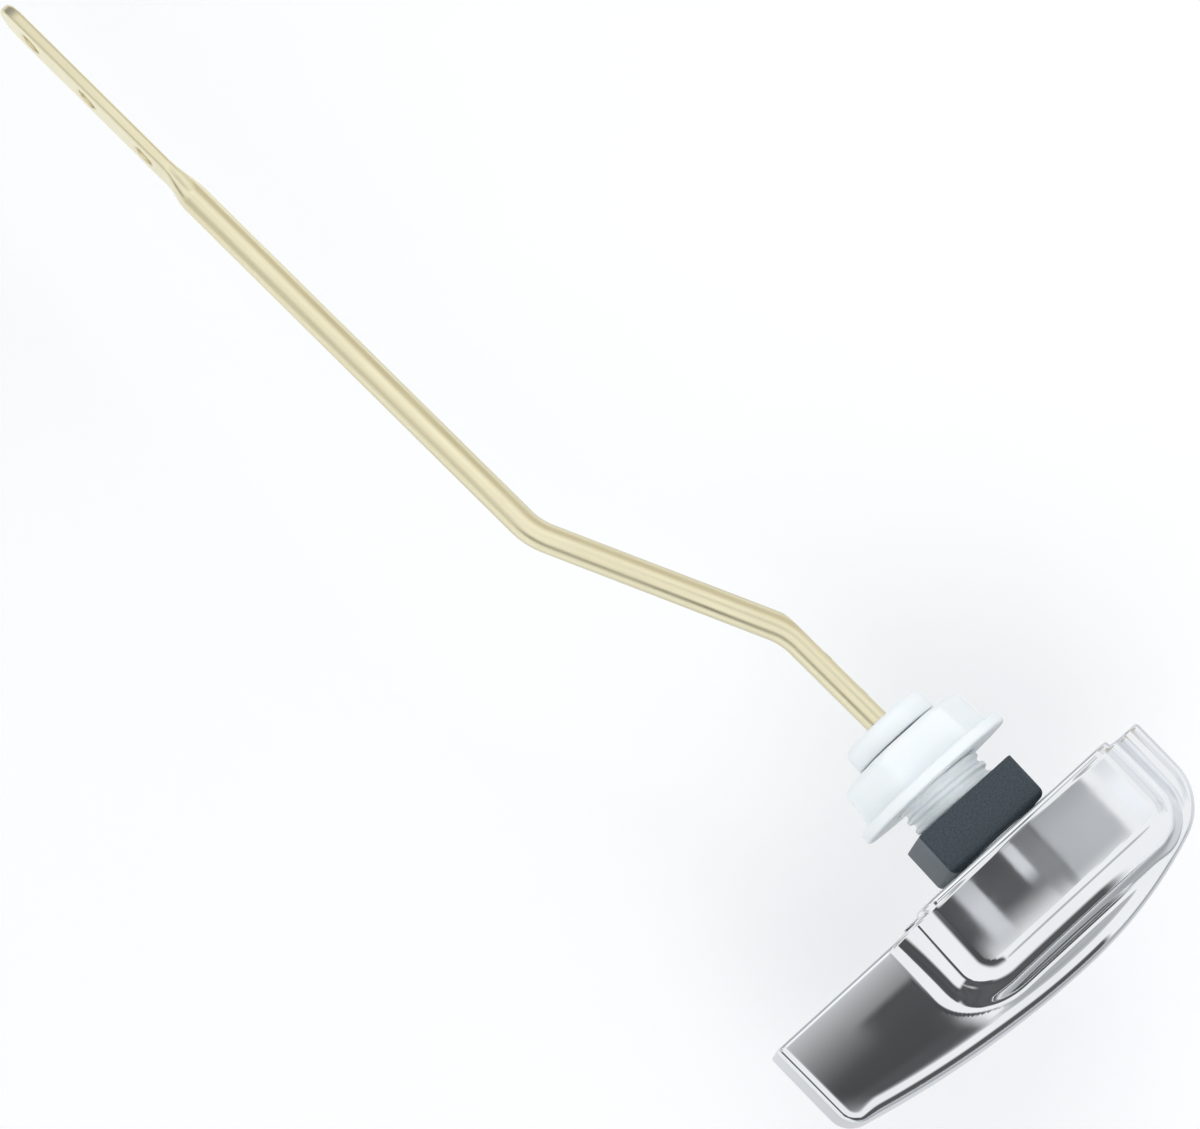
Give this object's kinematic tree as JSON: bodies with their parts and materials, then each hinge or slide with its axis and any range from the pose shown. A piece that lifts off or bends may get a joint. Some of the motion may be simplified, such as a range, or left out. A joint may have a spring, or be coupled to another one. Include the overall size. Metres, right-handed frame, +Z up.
{
  "type": "cistern lever",
  "caption": "Cistern flush lever: hollow chrome handle turning in a threaded wall bushing with gasket and nut, with a cranked brass arm and chain holes.",
  "frame": {"origin": "on the pivot axis, in the plane where the gasket meets the cistern wall", "axes": "+Y along the pivot into the cistern, +X to the heel of the handle with its tip at -X, +Z up"},
  "size_m": [0.0796, 0.2426, 0.03],
  "materials": {
    "chrome": "polished chrome plate on die-cast zinc",
    "brass": "bright drawn bar",
    "white_plastic": "satin, slightly translucent",
    "screw_steel": "plain",
    "black_rubber": "fine grain"
  },
  "bodies": {
    "mounting": {"bushing": "white_plastic", "wall_gasket": "black_rubber"},
    "lever": {"handle": "chrome", "arm": "brass", "arm_collar": "white_plastic", "grub_screw": "screw_steel"},
    "nut": {"mounting_nut": "white_plastic"}
  },
  "joints": [
    {"name": "lever_turn", "type": "hinge", "parent": "mounting", "child": "lever", "pos_m": [0, 0, 0], "axis": [0, 1, 0], "range_deg": [0, 35]},
    {"name": "nut_travel", "type": "slide", "parent": "mounting", "child": "nut", "axis": [0, 1, 0], "range_m": [-0.0045, 0.006]}
  ]
}
